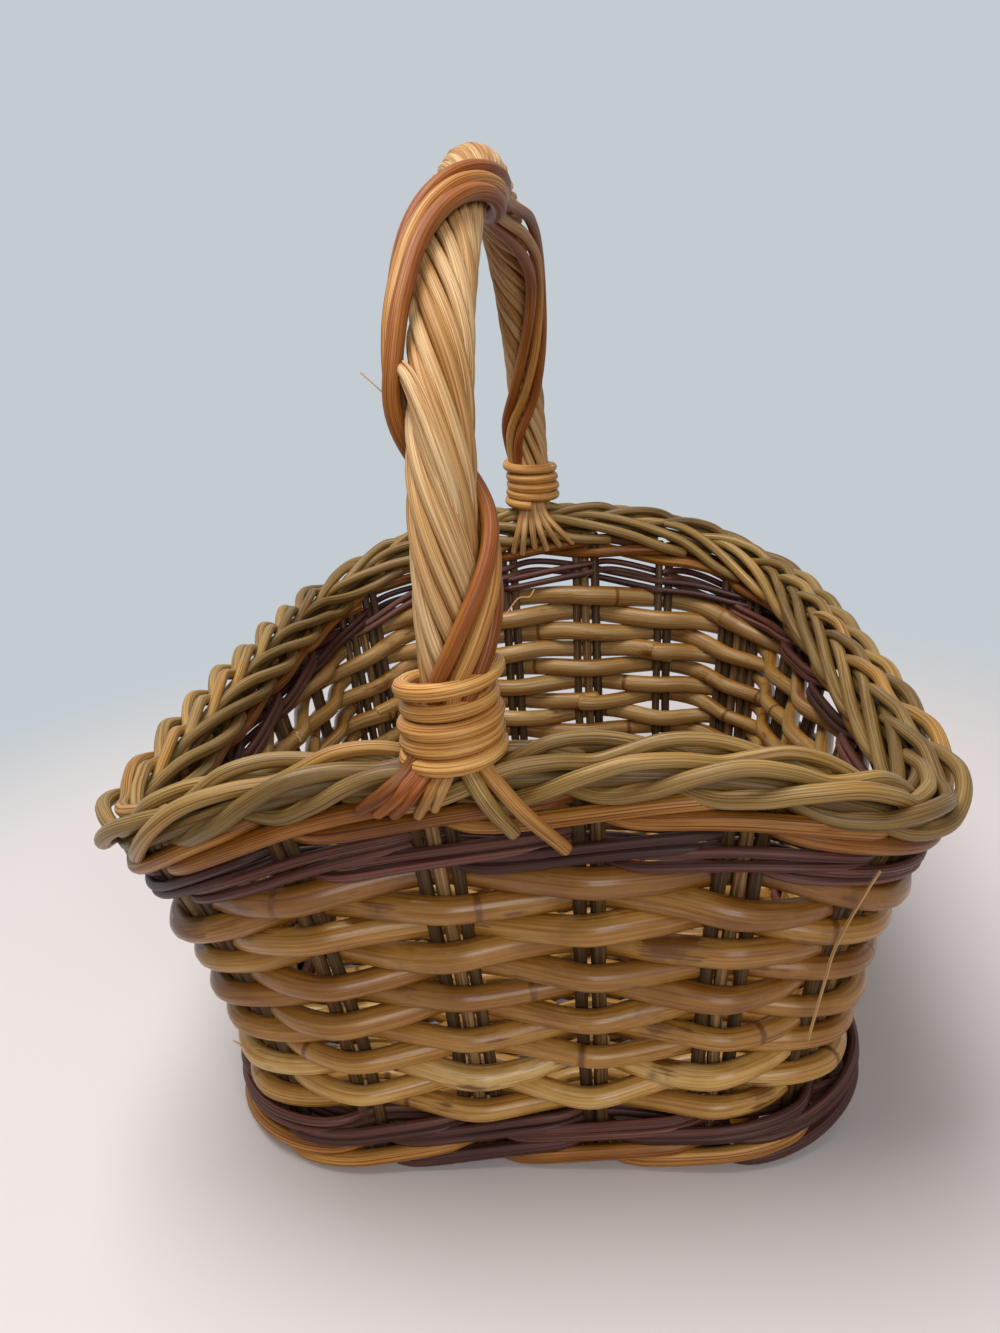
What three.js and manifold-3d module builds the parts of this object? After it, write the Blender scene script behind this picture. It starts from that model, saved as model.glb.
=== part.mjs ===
// A rectangular willow harvest basket with a fixed roped handle from end to end.
// Millimetres, +Z up. The origin is on the floor under the middle of the basket, X runs across the
// ends and Y runs along the basket, in the plane of the handle.
// Every rod is its own solid: stakes stand in a woven base, weavers pass in front of one stake and
// behind the next, twisted pairs of rods lock them at the foot and under the rim, a three-rod border
// closes the rim, and the handle's strands straddle that border.
import * as THREE from "three";
import { mergeVertices } from "three/addons/utils/BufferGeometryUtils.js";
import Module from "manifold-3d";

// Plan of the wall on the line of the stakes, at the foot and at the rim
const baseWidth = 180;
const baseLength = 218;
const baseCorner = 42;
const rimWidth = 206;
const rimLength = 268;
const rimCorner = 40;
const rimBow = 6; // how far the long sides bow out in their middle, at the rim
const rimTaper = 0.03; // share by which the rim is wider at the near end, and narrower at the far end
const endRise = 25; // how much higher the rim stands in the middle of each end
// How square the shoulders of that rise are: 2 makes a bow, and more makes it flatter along the middle
const nearShoulder = 3.4;
const farShoulder = 2;
const flareCurve = 1.75; // 1 leans the wall evenly, more keeps it upright below and flares it at the rim

// Counts
const endStakes = 4; // between the corner stakes of an end
const sideStakes = 4; // between the corner stakes of a long side
const weaverRows = 12;
const borderRods = 3;
const borderTurns = 10; // twists of the border in one lap of the rim
const strandCount = 7;
const strandPlaces = -16; // places that a strand moves round the core from foot to foot
const wrapCount = 2;
const bindingTurns = 4;
const baseStickCount = endStakes;

// Rods
const stakeDiameter = 5;
const weaverDiameter = 5.7;
const waleDiameter = 3.6;
const borderDiameter = 4.6;
const strandDiameter = 4.4;
const wrapDiameter = 4.2;
const bindingDiameter = 4.2;
const baseStickDiameter = 7;
const baseWeaverDiameter = 5;

// Border and handle
const borderFlatness = 1.7; // the border's width over its height, between rod middles
const handleX = -7; // the handle stands beside the middle of the ends
const handleSkew = 2.5; // its near foot stands this much further to that side, and its far foot less
const archRise = 106; // from the top of the bindings to the core's axis at the apex
const footGap = 2; // from the top of the border to the lowest turn of a binding
const fanDrop = 14; // from the middle of the border down to the strands' tips
const fanSpread = 13; // how far the tips spread sideways from the handle's plane
// Where along the arch a wrap rod crosses the right, inner, left and outer faces in turn
const wrapCrossings = [0.04, 0.16, 0.28, 0.44, 0.66, 0.83, 0.96];

// Clearances
const seat = 0.3; // between rods that bear on each other
const rowGap = 0.3; // between two rows of weaving
const turnGap = 0.5; // between rods that wind side by side
const baseTurnGap = 3; // between two passes of the base weaver, wide enough for it to turn back
const footFlat = 0.5; // depth of the flats on which the basket stands

// Facets
const rodSides = 5;
const stakeSides = 6;
const stakeSteps = 6;
const borderStepsPerTurn = 8;
const bindingStepsPerTurn = 16;
const archSteps = 28;

// Materials, named for the rods' finish
const finish = (color, roughness) => new THREE.MeshStandardMaterial({ color, roughness, metalness: 0 });
const buffWillow = finish(0x8f6f45, 0.6);
const goldenRattan = finish(0xb98a4a, 0.45);
const orangeWillow = finish(0xb06f35, 0.5);
const purpleWillow = finish(0x55343a, 0.5);
const oliveWillow = finish(0x8a7346, 0.55);
const peeledWillow = finish(0xc79a62, 0.6);
const redWillow = finish(0x9a5a33, 0.5);
const bindingCane = finish(0xc78f4c, 0.5);

const basket = new THREE.Group();

function addRod(name, geometry, material) {
  const mesh = new THREE.Mesh(geometry, material);
  mesh.name = name;
  basket.add(mesh);
}

// A path through chosen points, met exactly, with its steps at the points and not at equal lengths.
class RodPath extends THREE.Curve {
  constructor(points) {
    super();
    this.points = points;
  }

  getPoint(share, target = new THREE.Vector3()) {
    const last = this.points.length - 1;
    const place = THREE.MathUtils.clamp(share, 0, 1) * last;
    const from = Math.min(Math.floor(place), last - 1);
    return target.lerpVectors(this.points[from], this.points[from + 1], place - from);
  }

  getPointAt(share, target) {
    return this.getPoint(share, target);
  }

  getTangentAt(share, target) {
    return this.getTangent(share, target);
  }
}

function rodGeometry(points, diameter, sides = rodSides) {
  const section = new THREE.Shape();
  for (let corner = 0; corner < sides; corner++) {
    const angle = (2 * Math.PI * corner) / sides;
    const x = (diameter / 2) * Math.cos(angle);
    const y = (diameter / 2) * Math.sin(angle);
    if (corner === 0) section.moveTo(x, y);
    else section.lineTo(x, y);
  }
  const steps = points.length - 1;
  return new THREE.ExtrudeGeometry(section, { steps, extrudePath: new RodPath(points), bevelEnabled: false });
}

// Solids that are cut, with manifold-3d

const wasm = await Module();
wasm.setup();

function solidOf(geometry) {
  const bare = geometry.clone().deleteAttribute("normal").deleteAttribute("uv");
  const merged = mergeVertices(bare, 1e-4);
  const vertProperties = new Float32Array(merged.attributes.position.array);
  const triVerts = new Uint32Array(merged.index.array);
  return new wasm.Manifold(new wasm.Mesh({ numProp: 3, vertProperties, triVerts }));
}

function geometryOf(solid) {
  const mesh = solid.getMesh();
  const geometry = new THREE.BufferGeometry();
  geometry.setAttribute("position", new THREE.BufferAttribute(new Float32Array(mesh.vertProperties), 3));
  geometry.setIndex(new THREE.BufferAttribute(new Uint32Array(mesh.triVerts), 1));
  return geometry;
}

function cutAtFloor(geometry) {
  const size = 2 * (rimWidth + rimLength);
  const below = new THREE.BoxGeometry(size, size, size).translate(0, 0, -size / 2);
  return geometryOf(solidOf(geometry).subtract(solidOf(below)));
}

// The wall: stations count stakes round the basket, from the corner at -X -Y along the near end.
// Sides 0 and 2 are the near and far ends, sides 1 and 3 the long sides.

const basePlan = { width: baseWidth, length: baseLength, corner: baseCorner, bow: 0, taper: 0 };
const rimPlan = { width: rimWidth, length: rimLength, corner: rimCorner, bow: rimBow, taper: rimTaper };
const sideSteps = [endStakes + 1, sideStakes + 1, endStakes + 1, sideStakes + 1];
const stations = sideSteps.reduce((sum, steps) => sum + steps, 0);

// A point of a rounded rectangle: share runs along one side, from corner middle to corner middle.
function outlineAt(plan, side, share) {
  const isEnd = side % 2 === 0;
  const straight = (isEnd ? plan.width : plan.length) - 2 * plan.corner;
  const reach = (isEnd ? plan.length : plan.width) / 2;
  const halfArc = (plan.corner * Math.PI) / 4;
  const along = share * (straight + 2 * halfArc) - halfArc;
  const onSide = THREE.MathUtils.clamp(along, 0, straight);
  const turn = (along - onSide) / plan.corner;
  const travel = onSide - straight / 2 + plan.corner * Math.sin(turn);
  const out = reach - plan.corner * (1 - Math.cos(turn));
  const heading = (side * Math.PI) / 2;
  const ahead = new THREE.Vector2(Math.cos(heading), Math.sin(heading));
  const outward = new THREE.Vector2(ahead.y, -ahead.x);
  const point = ahead.clone().multiplyScalar(travel).addScaledVector(outward, out);
  const towardFar = (2 * point.y) / plan.length;
  point.x *= 1 + ((2 * plan.bow) / plan.width) * (1 - towardFar ** 2) - plan.taper * towardFar;
  const normal = outward.multiplyScalar(Math.cos(turn)).addScaledVector(ahead, Math.sin(turn));
  return { point, normal };
}

function sideOf(station) {
  let left = ((station % stations) + stations) % stations;
  let side = 0;
  while (left >= sideSteps[side]) {
    left -= sideSteps[side];
    side += 1;
  }
  return { side, share: left / sideSteps[side] };
}

// A point on the stakes' surface at a height above the floor, moved out of the wall by outset.
// The wall leans from the base plan to the rim plan, and its rim is higher in the middle of the ends.
function wallAt(station, height, outset = 0) {
  const { side, share } = sideOf(station);
  const foot = outlineAt(basePlan, side, share);
  const rim = outlineAt(rimPlan, side, share);
  const climb = Math.max(0, height / rimHeight);
  const place = foot.point.lerp(rim.point, climb ** flareCurve).addScaledVector(rim.normal, outset);
  const shoulder = rim.point.y < 0 ? nearShoulder : farShoulder;
  const acrossEnd = 1 - Math.abs((2 * rim.point.x) / rimWidth) ** shoulder;
  const towardEnd = ((2 * rim.point.y) / rimLength) ** 2;
  const rise = endRise * Math.max(0, acrossEnd) * towardEnd;
  return new THREE.Vector3(place.x, place.y, height + rise * climb ** 2);
}

// Heights of the courses, from the floor up

const waleReach = (stakeDiameter + waleDiameter) / 2 + seat;
const walePitch = waleDiameter + turnGap;
const waleSwing = (walePitch * waleReach) / Math.sqrt(4 * waleReach ** 2 - walePitch ** 2);
const waleHeight = 2 * waleSwing + waleDiameter + rowGap;
const rowPitch = weaverDiameter + rowGap;
const footWaleHeight = waleSwing + waleDiameter / 2 - footFlat;
const darkWaleHeight = footWaleHeight + waleHeight;
const firstRowHeight = darkWaleHeight + waleHeight / 2 + rowPitch / 2;
const purpleWaleHeight = firstRowHeight + (weaverRows - 0.5) * rowPitch + waleHeight / 2;
const orangeWaleHeight = purpleWaleHeight + waleHeight;

const chordLoss = 1 / Math.cos(Math.PI / borderStepsPerTurn);
const borderSwing = ((borderDiameter + turnGap) / (2 * Math.sin(Math.PI / borderRods))) * chordLoss;
const borderHalfHeight = borderSwing + borderDiameter / 2;
const borderReach = borderFlatness * borderSwing;
const borderHalfWidth = borderReach + borderDiameter / 2;
const rimHeight = orangeWaleHeight + waleHeight / 2 + borderHalfHeight;

// Stakes: rods from the foot wale to the underside of the border, bent to the wall's flare

const stakeFoot = footWaleHeight;
const stakeTop = rimHeight - borderHalfHeight - turnGap;

for (let stake = 0; stake < stations; stake++) {
  const points = [];
  for (let step = 0; step <= stakeSteps; step++) {
    points.push(wallAt(stake, stakeFoot + ((stakeTop - stakeFoot) * step) / stakeSteps));
  }
  addRod(`stake_${stake + 1}`, rodGeometry(points, stakeDiameter, stakeSides), buffWillow);
}

const standOffPasses = 12; // enough for the distance below to settle

// How far a bent rod stands out at a stake so that its two runs clear the leaning stake by a distance.
// Its runs come from between the stakes, half a swing below on one side and above on the other.
function standOff(station, height, direction, clear, swing) {
  const centre = wallAt(station, height);
  const lean = wallAt(station, height + swing + seat).sub(wallAt(station, height - swing - seat)).normalize();
  const seenAlong = (point) => point.sub(centre).projectOnPlane(lean);
  const between = [-0.5, 0.5].map((half) => wallAt(station + half, height + 2 * half * direction * swing));
  const nexts = between.map(seenAlong);
  let reach = clear;
  for (let pass = 0; pass < standOffPasses; pass++) {
    const peak = seenAlong(wallAt(station, height, direction * reach));
    const gaps = nexts.map((next) => {
      const run = new THREE.Line3(peak, next);
      return run.closestPointToPoint(new THREE.Vector3(), true, new THREE.Vector3()).length();
    });
    reach *= clear / Math.min(...gaps);
  }
  return reach;
}

// A lap of the basket: one point at each stake, in front of it or behind it in turn, and one between.
// The rod's two ends meet between two stakes, with a seat's gap.
function lapPoints({ start, height, clear, parity, swing = 0 }) {
  const points = [];
  const endShare = seat / wallAt(start, height).distanceTo(wallAt(start + 0.5, height));
  for (let half = 0; half <= 2 * stations; half++) {
    const inset = half === 0 ? endShare : half === 2 * stations ? -endShare : 0;
    const station = start + half / 2 + inset;
    const atStake = (start + half / 2) % 1 === 0;
    const stake = Math.floor(start + half / 2);
    const direction = (stake + parity) % 2 === 0 ? 1 : -1;
    const reach = atStake ? standOff(station, height, direction, clear, swing) : 0;
    points.push(wallAt(station, atStake ? height : height + direction * swing, direction * reach));
  }
  return points;
}

// Weavers: plain weave, each row the other way round from the last

const weaverClear = (stakeDiameter + weaverDiameter) / 2 + seat;
const seamStep = 3; // stakes from one row's meeting ends to the next row's

for (let row = 0; row < weaverRows; row++) {
  const start = ((row * seamStep) % stations) + 0.5;
  const height = firstRowHeight + row * rowPitch;
  const points = lapPoints({ start, height, clear: weaverClear, parity: row % 2 });
  addRod(`side_weaver_${row + 1}`, rodGeometry(points, weaverDiameter), goldenRattan);
}

// Wales: pairs of rods that twist round each other with a stake in every half twist

const wales = [
  { name: "foot_wale", height: footWaleHeight, material: orangeWillow, onFloor: true },
  { name: "dark_lower_wale", height: darkWaleHeight, material: purpleWillow },
  { name: "purple_upper_wale", height: purpleWaleHeight, material: purpleWillow },
  { name: "orange_upper_wale", height: orangeWaleHeight, material: orangeWillow },
];

for (const { name, height, material, onFloor } of wales) {
  for (const parity of [0, 1]) {
    const start = 0.5 + parity * seamStep;
    const points = lapPoints({ start, height, clear: waleReach, parity, swing: waleSwing });
    const geometry = rodGeometry(points, waleDiameter);
    addRod(`${name}_rod_${parity + 1}`, onFloor ? cutAtFloor(geometry) : geometry, material);
  }
}

// Border: three rods laid round each other like a rope along the rim, rising to the right outside

function borderPoints(rod) {
  const steps = borderTurns * borderStepsPerTurn;
  const endShare = seat / wallAt(0, rimHeight).distanceTo(wallAt(1, rimHeight));
  const points = [];
  for (let step = 0; step <= steps; step++) {
    const inset = step === 0 ? endShare : step === steps ? -endShare : 0;
    const station = (stations * step) / steps + inset;
    const angle = (2 * Math.PI * step) / borderStepsPerTurn + (2 * Math.PI * rod) / borderRods;
    const height = rimHeight + borderSwing * Math.sin(angle);
    points.push(wallAt(station, height, borderReach * Math.cos(angle)));
  }
  return points;
}

for (let rod = 0; rod < borderRods; rod++) {
  addRod(`border_rod_${rod + 1}`, rodGeometry(borderPoints(rod), borderDiameter), oliveWillow);
}

// Base: sticks along the basket, and one rod that runs to and fro across them, over and under

const baseHeight = baseWeaverDiameter + seat + baseStickDiameter / 2 + footFlat;
const wallInside = standOff(1, footWaleHeight, -1, waleReach, waleSwing) + waleDiameter / 2 + seat;
const stickEnd = wallAt(1, baseHeight).y + wallInside;

function baseStickX(stick) {
  return wallAt(stick + 1, baseHeight).x;
}

for (let stick = 0; stick < baseStickCount; stick++) {
  const points = [stickEnd, -stickEnd].map((y) => new THREE.Vector3(baseStickX(stick), y, baseHeight));
  addRod(`base_stick_${stick + 1}`, rodGeometry(points, baseStickDiameter, stakeSides), buffWillow);
}

// The weaver turns back at the wall, so its passes shorten where the base is rounded.
const basePass = baseWeaverDiameter + baseTurnGap;
const turnInset = wallInside + baseWeaverDiameter / 2;
const turnCorner = baseCorner - turnInset;
const turnLength = baseLength / 2 - turnInset;
const turnWidth = baseWidth / 2 - turnInset;
const basePasses = Math.floor((2 * turnLength) / basePass);
const baseSwing = (baseStickDiameter + baseWeaverDiameter) / 2 + seat;

function turnX(y) {
  const intoCorner = Math.max(0, Math.abs(y) - (turnLength - turnCorner));
  return turnWidth - turnCorner + Math.sqrt(turnCorner ** 2 - intoCorner ** 2);
}

function passY(pass) {
  return (pass - (basePasses - 1) / 2) * basePass;
}

// Two passes that a turn joins end at the same distance from the middle.
function turnReach(pass, joined) {
  const other = THREE.MathUtils.clamp(joined, 0, basePasses - 1);
  return Math.min(turnX(passY(pass)), turnX(passY(other)));
}

function baseWeaverPoints() {
  const points = [];
  for (let pass = 0; pass < basePasses; pass++) {
    const forward = pass % 2 === 0;
    const y = passY(pass);
    const line = [new THREE.Vector3(-turnReach(pass, forward ? pass - 1 : pass + 1), y, baseHeight)];
    for (let stick = 0; stick < baseStickCount; stick++) {
      const over = (stick + pass) % 2 === 0 ? 1 : -1;
      line.push(new THREE.Vector3(baseStickX(stick), y, baseHeight + over * baseSwing));
    }
    line.push(new THREE.Vector3(turnReach(pass, forward ? pass + 1 : pass - 1), y, baseHeight));
    points.push(...(forward ? line : line.reverse()));
  }
  return points;
}

addRod("base_weaver", rodGeometry(baseWeaverPoints(), baseWeaverDiameter), goldenRattan);

// Handle: a core on an arch from end to end, roped with strands that straddle the border at each foot.
// Angles round the core start at its outer face and grow towards +X.

const endSpacing = wallAt(2, rimHeight).x - wallAt(1, rimHeight).x;
const nearStation = sideSteps[0] / 2 + (handleX - handleSkew) / endSpacing;
const farMiddle = sideSteps[0] + sideSteps[1] + sideSteps[2] / 2;
const farStation = farMiddle - (handleX + handleSkew) / endSpacing;
const footY = -wallAt(nearStation, rimHeight).y;
const strandTwist = (2 * Math.PI * strandPlaces) / strandCount;
const strandLayAngle = 0.3; // the strands' slope to the core, at most, in radians
const wrapLayAngle = 0.6; // the wrap rods' slope to the core, at most, in radians
const strandRing = (strandDiameter + seat) / (2 * Math.sin(Math.PI / strandCount) * Math.cos(strandLayAngle));
const coreDiameter = 2 * (strandRing - strandDiameter / 2 - turnGap);
const handleRadius = strandRing + strandDiameter / 2;
const wrapRing = handleRadius + turnGap + wrapDiameter / 2;
const bindingRing = (handleRadius + seat + bindingDiameter / 2) / Math.cos(Math.PI / bindingStepsPerTurn);
const bindingPitch = bindingDiameter + turnGap;

const nearTop = wallAt(sideSteps[0] / 2, rimHeight + borderSwing).z;
const borderTop = nearTop + borderDiameter / 2;
const coreFootZ = borderTop + seat;
const bindingFootZ = borderTop + footGap + bindingDiameter / 2;
const archZ = bindingFootZ + bindingTurns * bindingPitch + bindingDiameter / 2 + turnGap;

// The arch is half an ellipse: turn runs from 0 at the near foot to pi at the far foot.
function archAt(turn, angle, ring) {
  const outward = new THREE.Vector3(0, -Math.cos(turn) * archRise, Math.sin(turn) * footY).normalize();
  const axisX = handleX - handleSkew * Math.cos(turn);
  const axis = new THREE.Vector3(axisX, -footY * Math.cos(turn), archZ + archRise * Math.sin(turn));
  axis.addScaledVector(outward, ring * Math.cos(angle));
  axis.x += ring * Math.sin(angle);
  return axis;
}

function legAt(end, z, angle, ring) {
  const axisX = handleX + end * handleSkew;
  return new THREE.Vector3(axisX + ring * Math.sin(angle), end * (footY + ring * Math.cos(angle)), z);
}

function archPoints(from, to, angleAt, ring) {
  const points = [];
  for (let step = 0; step <= archSteps; step++) {
    const turn = from + ((to - from) * step) / archSteps;
    points.push(archAt(turn, angleAt(turn), ring));
  }
  return points;
}

const corePoints = [
  legAt(-1, coreFootZ, 0, 0),
  ...archPoints(0, Math.PI, () => 0, 0),
  legAt(1, coreFootZ, 0, 0),
];
addRod("handle_core", rodGeometry(corePoints, coreDiameter, stakeSides), peeledWillow);

// Below its binding a strand on the outer or inner face runs down past the border to a tip on the wales.
// A strand at the side of the handle stops on top of the border, because the border is in its way.
const straddle = borderHalfWidth + strandDiameter / 2 + seat;
const fanFaceShare = 0.7; // the least share of a strand's ring, towards a face, that takes it past the border

function strandFoot(end, angle) {
  const facing = Math.cos(angle);
  const bindingFoot = legAt(end, bindingFootZ - bindingDiameter / 2, angle, strandRing);
  const borderRest = legAt(end, coreFootZ, angle, strandRing);
  if (Math.abs(facing) < fanFaceShare) return [borderRest, bindingFoot];
  const outset = Math.sign(facing) * straddle;
  const station = end < 0 ? nearStation : farStation;
  const shoulder = wallAt(station, rimHeight + borderSwing, outset);
  const tip = wallAt(station, rimHeight - fanDrop, outset);
  shoulder.x = bindingFoot.x;
  tip.x = bindingFoot.x + fanSpread * Math.sign(Math.sin(angle));
  return [tip, shoulder, bindingFoot];
}

for (let strand = 0; strand < strandCount; strand++) {
  const nearAngle = (2 * Math.PI * (strand + 0.5)) / strandCount;
  const angleAt = (turn) => nearAngle + (strandTwist * turn) / Math.PI;
  const points = [
    ...strandFoot(-1, nearAngle),
    ...archPoints(0, Math.PI, angleAt, strandRing),
    ...strandFoot(1, angleAt(Math.PI)).reverse(),
  ];
  addRod(`handle_strand_${strand + 1}`, rodGeometry(points, strandDiameter), peeledWillow);
}

// Wrap rods lie side by side and wind the other way over the strands, from binding to binding.
const wrapStep = (wrapDiameter + turnGap) / wrapRing / Math.cos(wrapLayAngle);
const wrapFrom = wrapCrossings[0];
const wrapTo = wrapCrossings[wrapCrossings.length - 1];

// The angle round the core at a share of the arch: a quarter turn from each crossing to the next.
function wrapAngle(share) {
  const next = wrapCrossings.findIndex((crossing, index) => index > 0 && share <= crossing);
  const after = next < 0 ? wrapCrossings.length - 1 : next;
  const from = wrapCrossings[after - 1];
  const passed = (share - from) / (wrapCrossings[after] - from);
  return (after + passed) * (Math.PI / 2);
}

for (let wrap = 0; wrap < wrapCount; wrap++) {
  const beside = (wrap - (wrapCount - 1) / 2) * wrapStep;
  const angleAt = (turn) => wrapAngle(turn / Math.PI) + beside;
  const points = archPoints(wrapFrom * Math.PI, wrapTo * Math.PI, angleAt, wrapRing);
  addRod(`handle_wrap_${wrap + 1}`, rodGeometry(points, wrapDiameter), redWillow);
}

// Bindings: one unbroken cane wound round each foot of the handle
function bindingPoints(end) {
  const points = [];
  for (let step = 0; step <= bindingTurns * bindingStepsPerTurn; step++) {
    const turns = step / bindingStepsPerTurn;
    points.push(legAt(end, bindingFootZ + turns * bindingPitch, 2 * Math.PI * turns, bindingRing));
  }
  return points;
}

// The least gap between a winding's turns, measured on its points.
function leastGap(points, stepsPerTurn, diameter) {
  let least = Infinity;
  points.forEach((point, index) => {
    points.slice(index + stepsPerTurn / 2).forEach((other) => {
      least = Math.min(least, point.distanceTo(other));
    });
  });
  return least - diameter;
}

for (const [name, end] of [["near_binding", -1], ["far_binding", 1]]) {
  const points = bindingPoints(end);
  addRod(name, rodGeometry(points, bindingDiameter, stakeSides), bindingCane);
  const gap = leastGap(points, bindingStepsPerTurn, bindingDiameter);
  console.log(`${name}: least gap to itself ${gap.toFixed(2)} mm`);
}

export default basket;
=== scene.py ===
"""Looks of a willow harvest basket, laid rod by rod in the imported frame.

Lengths are millimetres until a rod becomes a mesh, in metres, and the stage is in metres too. X runs
across the ends, Y along the basket in the plane of the handle, and Z is up. A station counts stakes
round the wall, from the corner at -X -Y along the near end. A rod's tone runs from 0, the darkest
shade of its finish, to 1, the palest.
"""

import math
import random
from collections import namedtuple

import bpy
import numpy as np
from mathutils import Matrix, Vector


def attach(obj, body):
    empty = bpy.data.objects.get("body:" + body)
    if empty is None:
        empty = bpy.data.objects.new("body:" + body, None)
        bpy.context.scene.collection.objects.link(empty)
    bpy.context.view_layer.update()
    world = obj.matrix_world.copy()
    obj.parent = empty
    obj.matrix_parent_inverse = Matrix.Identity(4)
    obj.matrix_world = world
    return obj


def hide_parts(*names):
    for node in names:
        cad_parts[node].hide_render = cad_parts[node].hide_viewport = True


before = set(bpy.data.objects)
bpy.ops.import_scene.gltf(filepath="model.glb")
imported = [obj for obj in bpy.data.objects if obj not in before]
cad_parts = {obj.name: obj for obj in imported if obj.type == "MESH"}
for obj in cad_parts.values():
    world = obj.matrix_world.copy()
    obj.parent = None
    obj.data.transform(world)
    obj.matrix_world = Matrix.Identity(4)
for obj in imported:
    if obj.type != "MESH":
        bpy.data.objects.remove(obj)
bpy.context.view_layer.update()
chance = random.Random(11)

MM = 0.001
TURN = 2 * math.pi

# The wall, as in the part's source but for RISE_LEAD
Plan = namedtuple("Plan", "width length corner bow taper")
BASE = Plan(width=180, length=218, corner=42, bow=0, taper=0)
RIM = Plan(width=206, length=268, corner=40, bow=6, taper=0.03)
RIM_HEIGHT = 110.8
END_RISE = 25  # how much higher the rim stands in the middle of each end
NEAR_SHOULDER = 3.4
FAR_SHOULDER = 2
FLARE_CURVE = 1.75
RISE_LEAD = 1.03  # the courses under the rim rise almost as much as the rim itself
STATIONS = 20
SIDE_STATIONS = 5

# Courses of the wall: heights of their middles on the long sides
FOOT_WALE_HEIGHT = 5.2
DARK_WALE_HEIGHT = 13.0
FIRST_ROW_HEIGHT = 19.9
ROW_PITCH = 6.1
ROWS = 12
PURPLE_WALE_HEIGHT = 94.0
ORANGE_WALE_HEIGHT = 102.6

# Rods
STAKE_DIAMETER = 3.9
STAKE_SPACING = 4.4  # between the rods of one group
WEAVER_FILL = 1.05  # a thick weaver's diameter over the pitch of the rows where it lies
FAR_FILL = 0.07  # and how much more that is at the far end
MEAN_WEAVER = 0.93  # an average weaver's diameter over a thick one's
WEAVER_REACH = 4.9  # from the stakes' middle to a weaver's middle, in front or behind
WALE_DIAMETER = 4.7
WALE_REACH = 4.7
WALE_SWING = 2.3
BORDER_DIAMETER = 4.65
OUTER_SPACING = 26  # from one outer rod of the border to the next along the rim
INNER_SPACING = 33
ROD_TAPER = 0.25  # how much thinner a border rod or a strand's end is at its tip
ROD_STEP = 2.0  # between the rings of a rod's mesh
STATION_SPAN = 45  # about the distance from stake to stake
MARKING_RANGE = 4000  # length of markings from which each rod takes its own stretch
SMOOTH_ANGLE = math.radians(50)

# Handle
HANDLE_X = -7
HANDLE_SKEW = 2.5  # the near foot stands this much further to the side, and the far foot less
FOOT_Y = 134
FOOT_Z = 142.7  # top of the border at the feet
ARCH_Z = 168.2
ARCH_RISE = 106
STRANDS = 10
STRAND_DIAMETER = 3.75
STRAND_RING = 6.05
STRAND_LAP = 104  # length of handle in which a strand goes once round
WRAP_DIAMETER = 4.2
WRAP_RING = 9.9
BINDING_DIAMETER = 4.2
BINDING_RING = 10.7


def outline_at(plan, side, share):
    """A point of a rounded rectangle and its outward normal; share runs from corner to corner."""
    is_end = side % 2 == 0
    straight = (plan.width if is_end else plan.length) - 2 * plan.corner
    reach = (plan.length if is_end else plan.width) / 2
    half_arc = plan.corner * math.pi / 4
    along = share * (straight + 2 * half_arc) - half_arc
    on_side = min(max(along, 0), straight)
    turn = (along - on_side) / plan.corner
    travel = on_side - straight / 2 + plan.corner * math.sin(turn)
    out = reach - plan.corner * (1 - math.cos(turn))
    heading = side * math.pi / 2
    ahead = Vector((math.cos(heading), math.sin(heading)))
    outward = Vector((ahead.y, -ahead.x))
    point = ahead * travel + outward * out
    toward_far = 2 * point.y / plan.length
    point.x *= 1 + 2 * plan.bow / plan.width * (1 - toward_far**2) - plan.taper * toward_far
    return point, outward * math.cos(turn) + ahead * math.sin(turn)


def wall_at(station, height, outset=0.0):
    """A point on the line of the stakes, moved out of the wall by outset."""
    side, left = divmod(station % STATIONS, SIDE_STATIONS)
    share = left / SIDE_STATIONS
    foot, _ = outline_at(BASE, int(side), share)
    rim, normal = outline_at(RIM, int(side), share)
    climb = max(0.0, height / RIM_HEIGHT)
    place = foot.lerp(rim, climb**FLARE_CURVE) + normal * outset
    shoulder = NEAR_SHOULDER if rim.y < 0 else FAR_SHOULDER
    across_end = max(0.0, 1 - abs(2 * rim.x / RIM.width) ** shoulder)
    rise = END_RISE * across_end * (2 * rim.y / RIM.length) ** 2
    return Vector((place.x, place.y, height + rise * min(1.0, RISE_LEAD * climb) ** 2))


def spacing_at(station, height):
    """Millimetres along the wall for one station."""
    return (wall_at(station + 0.5, height) - wall_at(station - 0.5, height)).length


def through(keys, steps):
    """A smooth path through key points, with so many steps between each two of them."""
    keys = [Vector(key) for key in keys]
    ends = [2 * keys[0] - keys[1], *keys, 2 * keys[-1] - keys[-2]]
    path = []
    for a, b, c, d in zip(ends, ends[1:], ends[2:], ends[3:]):
        for step in range(steps):
            t = step / steps
            bow = (2 * a - 5 * b + 4 * c - d) * t**2
            swing = (3 * b - 3 * c + d - a) * t**3
            path.append((2 * b + (c - a) * t + bow + swing) / 2)
    return [*path, keys[-1]]


WAVES = 2  # that make up one unevenness
WAVE_SIZES = (0.6, 1.0)
WAVE_RATES = (0.7, 1.5)


def wander(size, length):
    """A slow natural unevenness along a rod: a function of the place along it, in the unit of length."""
    waves = []
    for _ in range(WAVES):
        part = chance.uniform(*WAVE_SIZES)
        rate = chance.uniform(*WAVE_RATES) * TURN / length
        waves.append((part, rate, chance.uniform(0, TURN)))
    return lambda at: size * sum(part * math.sin(rate * at + phase) for part, rate, phase in waves) / WAVES


Rod = namedtuple("Rod", "points radii tone")
CUT_BEVEL = ((0.0, 0.7), (0.15, 0.92), (0.45, 1.0))  # place behind a cut end and thickness there, in radii


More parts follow.
